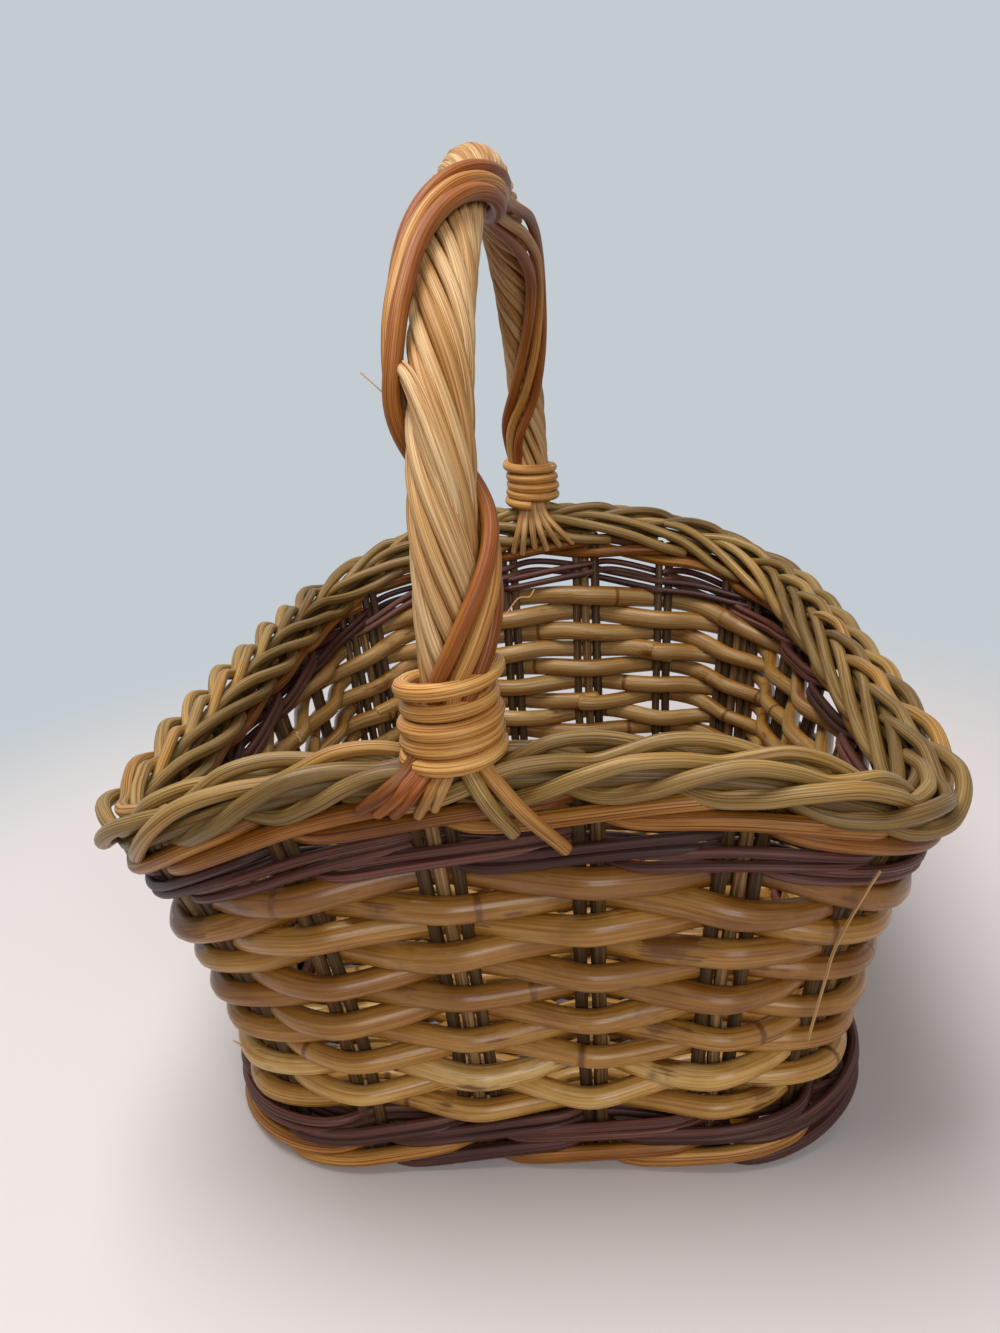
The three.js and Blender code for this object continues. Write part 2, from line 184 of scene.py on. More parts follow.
def bent_rod(points, diameter, tone, taper=0.0):
    """A rod with slightly rounded cut ends. diameter is one number or a list; taper thins the far end."""
    radii = [size / 2 for size in (diameter if isinstance(diameter, list) else [diameter] * len(points))]
    last = len(points) - 1
    radii = [radius * (1 - taper * at / last) for at, radius in enumerate(radii)]

    def cut(end, inner, radius):
        back = (inner - end).normalized() * radius
        return [(end + back * place, radius * thick) for place, thick in CUT_BEVEL]

    start = cut(points[0], points[1], radii[0])
    stop = cut(points[-1], points[-2], radii[-1])[::-1]
    joined = [*start, *zip(points[1:-1], radii[1:-1]), *stop]
    return Rod([point for point, _ in joined], [radius for _, radius in joined], tone)


def mark_rod(mesh, rod, sides):
    """Keep on each point its place round and along the rod, the rod's tone and whether it is a cut end's."""
    corners = np.empty(len(mesh.loops), dtype=np.int32)
    mesh.loops.foreach_get("vertex_index", corners)
    wrapped = np.empty(2 * len(mesh.loops), dtype=np.float32)
    mesh.uv_layers.active.data.foreach_get("uv", wrapped)
    round_share, along_share = np.empty((2, len(mesh.vertices)))
    along_share[corners] = wrapped[0::2]
    round_share[corners] = wrapped[1::2]
    steps = [(after - here).length for here, after in zip(rod.points, rod.points[1:])]
    lengths = np.cumsum([chance.uniform(0, MARKING_RANGE), *steps])
    ring = along_share * (len(lengths) - 1)
    radii = np.interp(ring, range(len(lengths)), rod.radii)
    along = np.interp(ring, range(len(lengths)), lengths)
    angles = TURN * round_share
    places = np.column_stack((radii * np.cos(angles), radii * np.sin(angles), along))
    # The points of the two caps come first
    ends = np.arange(len(mesh.vertices)) < 2 * sides
    tones = np.full(len(mesh.vertices), rod.tone)
    mesh.attributes.new("rod_place", "FLOAT_VECTOR", "POINT").data.foreach_set("vector", places.ravel())
    mesh.attributes.new("rod_tone", "FLOAT", "POINT").data.foreach_set("value", tones)
    mesh.attributes.new("rod_end", "FLOAT", "POINT").data.foreach_set("value", ends.astype(float))


def bend(rod, roundness):
    """One rod: a path bevelled to its thickness and made a mesh."""
    bpy.ops.curve.primitive_nurbs_path_add()
    shape = bpy.context.object.data
    shape.splines.clear()
    spline = shape.splines.new("POLY")
    spline.points.add(len(rod.points) - 1)
    spline.points.foreach_set("co", [part for point in rod.points for part in (*(point * MM), 1)])
    spline.points.foreach_set("radius", rod.radii)
    shape.bevel_depth = MM
    shape.bevel_resolution = roundness
    shape.use_fill_caps = True
    bpy.ops.object.convert(target="MESH")
    made = bpy.context.object
    # A bevel of resolution 0 has four sides, and each step of it adds two
    mark_rod(made.data, rod, sides=4 + 2 * roundness)
    return made


def lay(name, slot, nodes, rods, roundness=4):
    """Bend rods, join them into one piece and put it in the place of its CAD nodes."""
    bpy.ops.object.select_all(action="DESELECT")
    bent = [bend(rod, roundness) for rod in rods]
    for made in bent:
        made.select_set(True)
    bpy.context.view_layer.objects.active = bent[0]
    bpy.ops.object.join()
    piece = bpy.context.object
    piece.name = name
    bpy.ops.object.shade_smooth_by_angle(angle=SMOOTH_ANGLE)
    piece.data.materials.clear()
    piece.data.materials.append(finishes[slot])
    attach(piece, "root")
    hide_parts(*nodes)


# Finishes


def paint(code):
    """An sRGB hex colour as linear RGBA."""
    parts = [int(code[at : at + 2], 16) / 255 for at in (0, 2, 4)]
    return (*(p / 12.92 if p <= 0.04045 else ((p + 0.055) / 1.055) ** 2.4 for p in parts), 1.0)


def add(tree, kind, inputs, stops=None, **settings):
    """Add a node with its settings and return its outputs.

    Each input takes a number, a colour or another node's output. stops are places and colours of a ramp.
    """
    node = tree.nodes.new(kind)
    for name, value in settings.items():
        setattr(node, name, value)
    for key, value in inputs.items():
        if isinstance(value, bpy.types.NodeSocket):
            tree.links.new(value, node.inputs[key])
        else:
            node.inputs[key].default_value = value
    if stops:
        ramp = node.color_ramp.elements
        while len(ramp) < len(stops):
            ramp.new(0.5)
        for element, (place, colour) in zip(ramp, stops):
            element.position = place
            element.color = colour
    return node.outputs


BLACK = (0.0, 0.0, 0.0, 1.0)
WHITE = (1.0, 1.0, 1.0, 1.0)
# A colour mix node's sockets go by number, because several of them share a name
SHARE, FROM, TO, MIXED = 0, 6, 7, 2

NOISE = {"Scale": 1.0, "Roughness": 0.6}  # the mapping before it gives a noise its scale
STREAK_LEVELS = (0.36, 0.62)  # levels of the noise where a streak is full and where it has faded
FRAY = 0.4  # how much the streaks add to the stains where they fray a scar
SCAR_EDGE = 0.08  # levels of the noise from a scar's edge to its full colour
RING_WIDTHS = (0.5, 1.2)  # mm from a growth ring's middle to where it starts to fade and to where it has
RING_WAVE = 2.5  # mm by which a growth ring is uneven
RING_SCATTER = 0.8  # how uneven the distances between the rings are
# How far out a face looks, from -1 to 1, where the painted shade of the basket's inside starts and where it
# is full
INNER_SHADE_FACES = (-0.25, -0.5)
INNER_SHADE_SHARE = 0.8  # of the inside colour, a painted shade, in a face that looks inwards
GLOSS_LEVELS = (0.3, 0.7)  # levels of the noise for the dullest and the glossiest streaks
GLOSS_SHIFTS = (0.16, -0.08)  # their roughness over that of the finish
STREAK_RELIEF = 0.8  # height of the streaks over that of the stains
RELIEF = 0.35  # mm
RELIEF_STRENGTH = 0.45


def rod_finish(
    name,
    shades,
    streak,
    scar,
    pith,
    roughness,
    inside=None,
    fibre=0.5,
    grain=40,
    blotch=20,
    slim=4,
    mottle=0.6,
    bare=0.7,
    ring=0,
    coat=0.0,
):
    """A rod's finish, from its colours and from lengths in millimetres.

    shades are the colours at tones from 0 to 1. streak, scar and pith colour the fine streaks, the scars
    and the cut ends. inside is a painted shade: a duller colour for the faces towards the inside of the
    basket, where the inside lies in shade, and those faces also get less coat. fibre is the width and grain
    the length of the streaks. blotch is the length of the stains, slim how much longer than wide they are,
    mottle how far they change the tone, and bare the level above which they are scars. ring is the
    distance between growth rings, or 0 for none. coat is the strength of the glossy skin.
    """
    material = bpy.data.materials.new(name)
    material.use_nodes = True
    tree = material.node_tree
    shader = tree.nodes["Principled BSDF"]
    place = add(tree, "ShaderNodeAttribute", {}, attribute_name="rod_place")["Vector"]
    tone = add(tree, "ShaderNodeAttribute", {}, attribute_name="rod_tone")["Fac"]
    end = add(tree, "ShaderNodeAttribute", {}, attribute_name="rod_end")["Fac"]

    streak_scale = (1 / fibre, 1 / fibre, 1 / grain)
    along = add(tree, "ShaderNodeMapping", {"Vector": place, "Scale": streak_scale})["Vector"]
    fibres = add(tree, "ShaderNodeTexNoise", {"Vector": along, "Detail": 3.0, **NOISE})["Fac"]
    stain_scale = (slim / blotch, slim / blotch, 1 / blotch)
    around = add(tree, "ShaderNodeMapping", {"Vector": place, "Scale": stain_scale})["Vector"]
    stains = add(tree, "ShaderNodeTexNoise", {"Vector": around, "Detail": 4.0, **NOISE})["Fac"]

    shift = add(tree, "ShaderNodeMath", {0: stains, 1: mottle, 2: -mottle / 2}, operation="MULTIPLY_ADD")[0]
    shade = add(tree, "ShaderNodeMath", {0: tone, 1: shift}, operation="ADD")[0]
    shade_stops = [(at, paint(code)) for at, code in shades]
    ground = add(tree, "ShaderNodeValToRGB", {"Fac": shade}, stops=shade_stops)["Color"]
    # Painted shade: faces that look towards the inside of the basket take the duller inside colour, for the
    # shade inside the basket, and less coat
    if inside:
        here = add(tree, "ShaderNodeTexCoord", {})
        level = add(tree, "ShaderNodeVectorMath", {0: here["Object"], 1: (1, 1, 0)}, operation="MULTIPLY")[0]
        outward = add(tree, "ShaderNodeVectorMath", {0: level}, operation="NORMALIZE")[0]
        both = {0: outward, 1: here["Normal"]}
        facing = add(tree, "ShaderNodeVectorMath", both, operation="DOT_PRODUCT")["Value"]
        bounds = {"From Min": INNER_SHADE_FACES[0], "From Max": INNER_SHADE_FACES[1], "To Max": INNER_SHADE_SHARE}
        inner = add(tree, "ShaderNodeMapRange", {"Value": facing, **bounds})[0]
        inner_shade_mix = {SHARE: inner, FROM: ground, TO: paint(inside)}
        ground = add(tree, "ShaderNodeMix", inner_shade_mix, data_type="RGBA")[MIXED]
        skin = add(tree, "ShaderNodeMath", {0: inner, 1: -coat, 2: coat}, operation="MULTIPLY_ADD")[0]
        tree.links.new(skin, shader.inputs["Coat Weight"])

    streak_stops = list(zip(STREAK_LEVELS, (WHITE, BLACK)))
    streaks = add(tree, "ShaderNodeValToRGB", {"Fac": fibres}, stops=streak_stops)["Color"]
    darkened = {SHARE: streaks, FROM: ground, TO: paint(streak)}
    streaked = add(tree, "ShaderNodeMix", darkened, data_type="RGBA", blend_type="MULTIPLY")[MIXED]
    # The streaks fray the scars' edges, and the level allows for what they add on average
    frayed = add(tree, "ShaderNodeMath", {0: fibres, 1: FRAY, 2: stains}, operation="MULTIPLY_ADD")[0]
    scar_level = bare + FRAY / 2
    scar_stops = [(scar_level, BLACK), (scar_level + SCAR_EDGE, WHITE)]
    scars = add(tree, "ShaderNodeValToRGB", {"Fac": frayed}, stops=scar_stops)["Color"]
    worn = {SHARE: scars, FROM: streaked, TO: paint(scar)}
    scarred = add(tree, "ShaderNodeMix", worn, data_type="RGBA")[MIXED]
    raised = {0: fibres, 1: STREAK_RELIEF, 2: stains}
    height = add(tree, "ShaderNodeMath", raised, operation="MULTIPLY_ADD")[0]
    if ring:
        apart = add(tree, "ShaderNodeSeparateXYZ", {"Vector": place})
        wavy = {0: stains, 1: RING_WAVE, 2: apart["Z"]}
        uneven = add(tree, "ShaderNodeMath", wavy, operation="MULTIPLY_ADD")[0]
        count = add(tree, "ShaderNodeMath", {0: uneven, 1: ring}, operation="DIVIDE")[0]
        spread = {"W": count, "Scale": 1.0, "Randomness": RING_SCATTER}
        cell = add(tree, "ShaderNodeTexVoronoi", spread, voronoi_dimensions="1D")["Distance"]
        ring_stops = [(width / ring, grey) for width, grey in zip(RING_WIDTHS, (WHITE, BLACK))]
        rings = add(tree, "ShaderNodeValToRGB", {"Fac": cell}, stops=ring_stops)["Color"]
        ringed = {SHARE: rings, FROM: scarred, TO: paint(scar)}
        scarred = add(tree, "ShaderNodeMix", ringed, data_type="RGBA")[MIXED]
        height = add(tree, "ShaderNodeMath", {0: height, 1: rings}, operation="SUBTRACT")[0]
    cut = {SHARE: end, FROM: scarred, TO: paint(pith)}
    colour = add(tree, "ShaderNodeMix", cut, data_type="RGBA")[MIXED]

    bounds = {"From Min": GLOSS_LEVELS[0], "From Max": GLOSS_LEVELS[1]}
    bounds |= {"To Min": roughness + GLOSS_SHIFTS[0], "To Max": roughness + GLOSS_SHIFTS[1]}
    gloss = add(tree, "ShaderNodeMapRange", {"Value": fibres, **bounds})[0]
    relief = {"Strength": RELIEF_STRENGTH, "Distance": RELIEF * MM, "Height": height}
    bump = add(tree, "ShaderNodeBump", relief)["Normal"]
    tree.links.new(colour, shader.inputs["Base Color"])
    tree.links.new(gloss, shader.inputs["Roughness"])
    tree.links.new(bump, shader.inputs["Normal"])
    shader.inputs["Specular IOR Level"].default_value = 0.3
    shader.inputs["Coat Weight"].default_value = coat
    shader.inputs["Coat Roughness"].default_value = 0.22
    return material


finishes = {
    # Rattan with its skin on: hard and glossy, golden, with dark growth rings and brown scars, and with a
    #     # painted shade, duller and greyer, on the faces towards the inside of the basket
    "golden_rattan": rod_finish(
        "golden rattan skin",
        shades=[(0.0, "64401a"), (0.3, "906024"), (0.55, "ae803a"), (0.8, "c69c54"), (1.0, "dcc084")],
        streak="d2b88e",
        scar="6e4316",
        pith="d9bd8c",
        roughness=0.38,
        # painted shade on the faces towards the inside of the basket
        inside="a88a5a",
        fibre=0.7,
        grain=70,
        blotch=32,
        slim=1.3,
        mottle=1.1,
        bare=0.58,
        ring=110,
        coat=0.35,
    ),
    # Brown willow with its bark on: dull, dark olive to tan, finely ridged along
    "buff_willow": rod_finish(
        "brown bark willow",
        shades=[(0.0, "3a2818"), (0.4, "5d4528"), (0.7, "8a683f"), (1.0, "b08d5e")],
        streak="8a7050",
        scar="2c1c10",
        pith="b8966a",
        roughness=0.55,
    ),
    # Steamed orange-tan willow: satin skin with red-brown streaks
    "orange_willow": rod_finish(
        "orange steamed willow",
        shades=[(0.0, "683a10"), (0.35, "9a601e"), (0.65, "bc8234"), (1.0, "d4a458")],
        streak="8a5c36",
        scar="5c3014",
        pith="d8b07a",
        roughness=0.42,
        fibre=0.35,
        grain=60,
        blotch=40,
        mottle=1.1,
        coat=0.05,
    ),
    # Purple willow with its bark on: dark plum brown, ridged along, with a dull sheen on its ridges
    "purple_willow": rod_finish(
        "purple bark willow",
        shades=[(0.0, "2e1711"), (0.4, "4f2c23"), (0.7, "6e4135"), (1.0, "8c5d4e")],
        streak="7a5750",
        scar="20100c",
        pith="a5805c",
        roughness=0.44,
        fibre=0.4,
        grain=70,
        blotch=40,
        bare=0.75,
    ),
    # Green willow dried with its bark on: olive tan, some rods golden, with a satin skin
    "olive_willow": rod_finish(
        "olive bark willow",
        # The darkest shade is partly painted shade: the border's cores reach it in the gaps of the border
        shades=[(0.0, "33240f"), (0.25, "755a2c"), (0.6, "9a7c46"), (0.8, "ac8c50"), (1.0, "be8a40")],
        streak="a08862",
        scar="6a4d2a",
        pith="c3a474",
        roughness=0.4,
        fibre=0.3,
        grain=60,
        blotch=45,
        mottle=0.9,
        bare=0.72,
        coat=0.05,
    ),
    # Peeled willow: bare pale wood, dull, with fine straight grain
    "peeled_willow": rod_finish(
        "peeled willow",
        shades=[(0.0, "966228"), (0.3, "b58548"), (0.65, "cda36a"), (1.0, "e2c190")],
        streak="b8935f",
        scar="9a6a38",
        pith="e3c79c",
        roughness=0.5,
        fibre=0.3,
        grain=35,
        blotch=30,
        bare=0.72,
    ),
    # Red-brown willow: bark stained chestnut, golden where it is rubbed
    "red_willow": rod_finish(
        "red bark willow",
        shades=[(0.0, "6a4010"), (0.4, "a05c20"), (0.7, "c28436"), (1.0, "dcb06a")],
        streak="b08454",
        scar="5f2e16",
        pith="d3a873",
        roughness=0.46,
        fibre=0.3,
        grain=45,
        blotch=60,
        mottle=1.1,
    ),
    # Split binding cane: golden orange with a satin skin, cracked where it bends
    "binding_cane": rod_finish(
        "binding cane",
        shades=[(0.0, "b0742f"), (0.4, "d2974b"), (0.7, "e2b063"), (1.0, "ecc486")],
        streak="b0814c",
        scar="e8c892",
        pith="dcb680",
        roughness=0.42,
        fibre=0.35,
        grain=30,
        blotch=9,
        slim=1.6,
        bare=0.67,
        coat=0.05,
    ),
}


def node_names(start, count):
    """Names of the CAD nodes that are numbered from 1 to count."""
    return [f"{start}_{number}" for number in range(1, count + 1)]


# Stakes: groups of thin rods side by side, the middle one paler, more of them in the corners

STAKE_FOOT = 3.0
STAKE_TOP = RIM_HEIGHT - 4.0  # inside the border
STAKE_STEPS = 30
CORNER_GROUP = 5
STAKE_GROUPS = (3, 2)  # rods in the other groups, by turns
STAKE_SIZES = (0.92, 1.06)  # the thinnest and the thickest, over the diameter
MIDDLE_STAKE_TONES = (0.7, 0.9)
OUTER_STAKE_TONES = (0.25, 0.55)
STAKE_SWAY = (0.5, 90)  # size and length of their unevenness along the wall
STAKE_LEAN = (0.35, 70)  # and out of it

stakes = []
for station in range(STATIONS):
    in_group = CORNER_GROUP if station % SIDE_STATIONS == 0 else STAKE_GROUPS[station % SIDE_STATIONS % 2]
    for member in range(in_group):
        from_middle = member - (in_group - 1) / 2
        sway, lean = wander(*STAKE_SWAY), wander(*STAKE_LEAN)
        points = []
        for step in range(STAKE_STEPS + 1):
            height = STAKE_FOOT + (STAKE_TOP - STAKE_FOOT) * step / STAKE_STEPS
            shift = (from_middle * STAKE_SPACING + sway(height)) / spacing_at(station, height)
            points.append(wall_at(station + shift, height, lean(height)))
        size = STAKE_DIAMETER * chance.uniform(*STAKE_SIZES)
        tones = MIDDLE_STAKE_TONES if from_middle == 0 else OUTER_STAKE_TONES
        stakes.append(bent_rod(points, size, chance.uniform(*tones)))
lay("stakes", "buff_willow", node_names("stake", STATIONS), stakes, roundness=2)


# Side weavers: plain weave, in front of one group of stakes and behind the next


def straight_wave(phase):
    """Nearly straight runs between rounded bends: 1 at phase 0, -1 half a turn on."""
    sharpness = 0.9
    return math.asin(sharpness * math.cos(phase)) / math.asin(sharpness)


def run(start, stop, height, place):
    """A rod along the wall. place gives its outset and its rise over the height at a station."""
    steps = int((stop - start) * spacing_at(SIDE_STATIONS / 2, height) / ROD_STEP)
    stations = [start + (stop - start) * step / steps for step in range(steps + 1)]
    points = []
    for station in stations:
        outset, rise = place(station)
        points.append(wall_at(station, height + rise, outset))
    return stations, points


WEAVER_SPAN = STATIONS // 2  # stations from one end of a weaver to the other, with two weavers in a row
WEAVER_TUCK = 0.14  # stations by which a weaver's ends run past the stake behind which they are cut
TUCK_START = 0.5  # stations before its end where a weaver starts to turn in behind the next one
TUCK_IN = 3  # how far it turns in for each station
TUCK_UP = 2
FIRST_SEAM = 7  # station of the lowest row's first end
SEAM_STEP = 3  # stations from one row's first end to the next row's
LOW_TONE = 0.74  # of the lowest row, on average
ROW_DARKENING = 0.035  # from each row to the one over it
WEAVER_TONE_SPREAD = 0.2
WEAVER_SWAY = (0.9, 130)
WEAVER_LIFT = (1.3, 90)
WEAVER_SWELL = (0.13, 110)  # size over that of a thick weaver

weavers = []
for row in range(ROWS):
    height = FIRST_ROW_HEIGHT + row * ROW_PITCH
    first = FIRST_SEAM + SEAM_STEP * row
    for start in (first, first + WEAVER_SPAN):
        sway, lift, swell = wander(*WEAVER_SWAY), wander(*WEAVER_LIFT), wander(*WEAVER_SWELL)

        def place(station):
            at = station * STATION_SPAN
            past = max(0.0, station - (start + WEAVER_SPAN - TUCK_START))
            wave = straight_wave(math.pi * (station - first - 1))
            return WEAVER_REACH * wave + sway(at) - TUCK_IN * past, lift(at) + TUCK_UP * past

        stop = start + WEAVER_SPAN + WEAVER_TUCK
        stations, points = run(start - WEAVER_TUCK, stop, height, place)
        sizes = []
        for station in stations:
            above = wall_at(station, height + ROW_PITCH / 2)
            pitch = (above - wall_at(station, height - ROW_PITCH / 2)).length
            fill = WEAVER_FILL + FAR_FILL * max(0.0, 2 * above.y / RIM.length)
            sizes.append(fill * pitch * (MEAN_WEAVER + swell(station * STATION_SPAN)))
        tone = LOW_TONE - ROW_DARKENING * row + chance.uniform(-WEAVER_TONE_SPREAD, WEAVER_TONE_SPREAD)
        weavers.append(bent_rod(points, sizes, tone))
lay("side_weavers", "golden_rattan", node_names("side_weaver", ROWS), weavers)


# Wales: three rods, each in front of two groups of stakes and behind the third, rising to the right

WALE_RODS = 3
FRONT_SHARE = 0.25  # moves a wale rod's crossings so that it is longer in front than behind
WALE_EASE = 0.15  # softens the crossings
FOOT_PROUD = 3.2  # how far the two lower wales stand out at the corners
WALE_SIZES = (0.95, 1.04)
WALE_TONE_SPREAD = 0.12
WALE_SWAY = (0.3, 130)
WALE_LIFT = (0.3, 110)
# Rods of one strand of a wale: thickness, and height over the strand's middle
SINGLE = ((WALE_DIAMETER, 0.0),)
PAIR = ((3.0, -1.4), (2.9, 1.4))

# seam is the station of the first rod's ends, and proud how far the wale stands out at the corners
Wale = namedtuple("Wale", "name slot height tones seam proud members")
WALES = (
    Wale("dark_lower_wale", "purple_willow", DARK_WALE_HEIGHT, (0.5, 0.7, 0.55), 9, FOOT_PROUD, PAIR),
    Wale("purple_upper_wale", "purple_willow", PURPLE_WALE_HEIGHT, (0.6, 0.45, 0.7), 11, 0.0, PAIR),
    Wale("orange_upper_wale", "orange_willow", ORANGE_WALE_HEIGHT, (0.5, 0.65, 0.35), 13, 0.0, SINGLE),
)
FOOT_WALE = Wale("foot_wale", "orange_willow", FOOT_WALE_HEIGHT, (0.6, 0.5, 0.5), 12, FOOT_PROUD, SINGLE)


def wale_rods(wale):
    """The rods of one wale, strand by strand."""
    rods = []
    for number, tone in enumerate(wale.tones):
        for size, beside in wale.members:
            sway, lift = wander(*WALE_SWAY), wander(*WALE_LIFT)

            def place(station):
                phase = TURN * (station + number) / WALE_RODS
                forward = math.cos(phase) + FRONT_SHARE
                outset = WALE_REACH * forward / math.sqrt(forward**2 + WALE_EASE)
                rise = beside + WALE_SWING * straight_wave(phase - math.pi / 2)
                outset += wale.proud * math.cos(math.pi * station / SIDE_STATIONS) ** 2
                return outset + sway(station * STATION_SPAN), rise + lift(station * STATION_SPAN)

            first = wale.seam + number
            _, points = run(first, first + STATIONS, wale.height, place)
            thickness = size * chance.uniform(*WALE_SIZES)
            shade = tone + chance.uniform(-WALE_TONE_SPREAD, WALE_TONE_SPREAD)
            rods.append(bent_rod(points, thickness, shade))
    return rods


for wale in WALES:
    lay(wale.name, wale.slot, node_names(f"{wale.name}_rod", 2), wale_rods(wale))
*orange_rods, dark_rod = wale_rods(FOOT_WALE)
lay(FOOT_WALE.name, FOOT_WALE.slot, node_names("foot_wale_rod", 2), orange_rods)
lay("foot_wale_dark_rod", "purple_willow", [], [dark_rod])


# Border: two courses of short rods laid over each other, rising outside and inside and tucked in at the top

RIM_SAMPLES = 400
rim_lengths = [0.0]
for sample in range(RIM_SAMPLES):
    here = wall_at(STATIONS * sample / RIM_SAMPLES, RIM_HEIGHT)
    after = wall_at(STATIONS * (sample + 1) / RIM_SAMPLES, RIM_HEIGHT)
    rim_lengths.append(rim_lengths[-1] + (after - here).length)


def rim_station(distance):
    """The station at a distance along the rim."""
    lap_count, left = divmod(distance, rim_lengths[-1])
    after = next(at for at, length in enumerate(rim_lengths) if length > left)
    part = (left - rim_lengths[after - 1]) / (rim_lengths[after] - rim_lengths[after - 1])
    return STATIONS * (lap_count + (after - 1 + part) / RIM_SAMPLES)


# A border rod's way: distance along the rim, outset and rise over the middle of the border
OUTER_WAY = (
    (-14, -0.5, -5.6),
    (-4, 4.0, -6.2),
    (6, 6.8, -3.8),
    (16, 6.8, 0.6),
    (26, 5.2, 3.6),
    (37, 2.9, 3.2),
    (46, 0.8, 1.7),
    (53, -0.8, 3.4),
    (61, -2.4, 6.1),
    (70, -4.2, 6.2),
    (78, -4.8, 5.0),
    (86, -4.4, 2.8),
    (94, -3.2, 0.3),
)
INNER_WAY = (
    (-14, -4.0, -7.2),
    (0, -6.8, -6.4),
    (14, -7.9, -4.0),
    (30, -8.0, -1.0),
    (46, -7.0, 1.8),
    (60, -5.4, 3.0),
    (72, -3.6, 2.2),
    (82, -2.0, 0.4),
)
BORDER_KEY_STEPS = 5
BORDER_LIFT = 1.5  # of the border's middle over the rim's height
BORDER_SIZES = (0.94, 1.06)
BORDER_TONES = (0.3, 0.95)
BORDER_SCATTER = 1.5  # of the rods' starts along the rim
BORDER_WANDER = (0.4, 60)
# Outset and rise of the stakes' tops laid along inside the border
BORDER_CORES = ((2.4, -2.6), (-2.0, -2.0))
CORE_DIAMETER = 4.4
CORE_SHADE_TONE = 0.24  # darker than the rods of the border: painted shade for the gaps between them, where the cores show
FOOT_DIP = 2.5  # how far the handle's near foot presses the border down
DIP_REACH = 16

border = []
for way, spacing in ((OUTER_WAY, OUTER_SPACING), (INNER_WAY, INNER_SPACING)):
    count = round(rim_lengths[-1] / spacing)
    for rod in range(count):
        start = rim_lengths[-1] * rod / count + chance.uniform(-BORDER_SCATTER, BORDER_SCATTER)
        sway, lift = wander(*BORDER_WANDER), wander(*BORDER_WANDER)
        points = []
        for along, outset, rise in through(way, BORDER_KEY_STEPS):
            station = rim_station(start + along)
            point = wall_at(station, RIM_HEIGHT + BORDER_LIFT + rise + lift(along), outset + sway(along))
            if point.y < 0:
                point.z -= FOOT_DIP * math.exp(-(((point.x - HANDLE_X + HANDLE_SKEW) / DIP_REACH) ** 2))
            points.append(point)
        size = BORDER_DIAMETER * chance.uniform(*BORDER_SIZES)
        border.append(bent_rod(points, size, chance.uniform(*BORDER_TONES), taper=ROD_TAPER))
# The cores' darker tone is painted shade in the gaps of the border
for outset, rise in BORDER_CORES:
    _, points = run(0, STATIONS, RIM_HEIGHT + BORDER_LIFT + rise, lambda station: (outset, 0.0))
    border.append(bent_rod(points, CORE_DIAMETER, CORE_SHADE_TONE))
lay("border", "olive_willow", node_names("border_rod", 3), border)


# Base: sticks along the basket, and rods packed close across them, over and under

BASE_HEIGHT = 9.3
BASE_STICKS = 4
BASE_STICK_DIAMETER = 7.0
BASE_ROD_DIAMETER = 5.0
BASE_ROD_PITCH = 5.5
BASE_SWING = 4.6
WALL_INSIDE = 3.5  # from the line of the stakes to the ends of the base
BASE_KEY_STEPS = 8
BASE_END_GAP = 1.0  # more room at the ends of the rods
BASE_TONES = (0.4, 0.75)
STICK_BEND = 1.0
STICK_TONE = 0.6

stick_x = [wall_at(stick + 1, BASE_HEIGHT).x for stick in range(BASE_STICKS)]
stick_end = BASE.length / 2 - WALL_INSIDE
base_sticks = []
for x in stick_x:
    keys = [(x, -stick_end, BASE_HEIGHT), (x + STICK_BEND, 0, BASE_HEIGHT), (x, stick_end, BASE_HEIGHT)]
    base_sticks.append(bent_rod(through(keys, BASE_KEY_STEPS), BASE_STICK_DIAMETER, STICK_TONE))
lay("base_sticks", "buff_willow", node_names("base_stick", BASE_STICKS), base_sticks)

base_rods = []
corner = BASE.corner - WALL_INSIDE
passes = int(2 * stick_end / BASE_ROD_PITCH)
for number in range(passes):
    y = (number - (passes - 1) / 2) * BASE_ROD_PITCH
    into_corner = max(0.0, abs(y) - (stick_end - corner))
    round_corner = math.sqrt(max(0.0, corner**2 - into_corner**2))
    reach = BASE.width / 2 - WALL_INSIDE - corner + round_corner - BASE_END_GAP
    keys = [(-reach, y, BASE_HEIGHT)]
    for stick, x in enumerate(stick_x):
        over = BASE_SWING if (stick + number) % 2 == 0 else -BASE_SWING
        if abs(x) < reach - BASE_STICK_DIAMETER / 2:
            keys.append((x, y, BASE_HEIGHT + over))
    keys.append((reach, y, BASE_HEIGHT))
    points = through(keys, BASE_KEY_STEPS)
    base_rods.append(bent_rod(points, BASE_ROD_DIAMETER, chance.uniform(*BASE_TONES)))
lay("base_weaver", "golden_rattan", ["base_weaver"], base_rods, roundness=2)


# Handle. A share counts along the arch from the near foot, at 0, to the far one, at 1, and goes on past
# them down the straight legs. An angle round the handle is 0 at its outer face and grows towards +X.

ACROSS = Vector((1, 0, 0))
LEG_SHARE = math.pi * ARCH_RISE  # length of leg for a share of 1


def handle_at(share, angle=0.0, ring=0.0):
    """A point at an angle round the handle and at the distance ring from its middle."""
    turn = math.pi * min(max(share, 0.0), 1.0)
    on_leg = max(-share, share - 1, 0.0) * LEG_SHARE
    centre = Vector((HANDLE_X - HANDLE_SKEW * math.cos(turn), -FOOT_Y * math.cos(turn), ARCH_Z - on_leg))
    centre.z += ARCH_RISE * math.sin(turn)
    outward = Vector((0, -ARCH_RISE * math.cos(turn), FOOT_Y * math.sin(turn))).normalized()
    return centre + outward * (ring * math.cos(angle)) + ACROSS * (ring * math.sin(angle))


HANDLE_STEPS = 160
HANDLE_KEY_STEPS = 8
HANDLE_CORE_GAP = 0.4  # between the strands and the core
HANDLE_CORE_TONE = 0.2
STRAND_SIZES = (0.92, 1.05)
STRAND_TONES = (0.35, 1.0)
STRAND_SWAY = (0.1, 120)  # radians round the handle in so many millimetres along it
STRAND_LIFT = (0.3, 90)

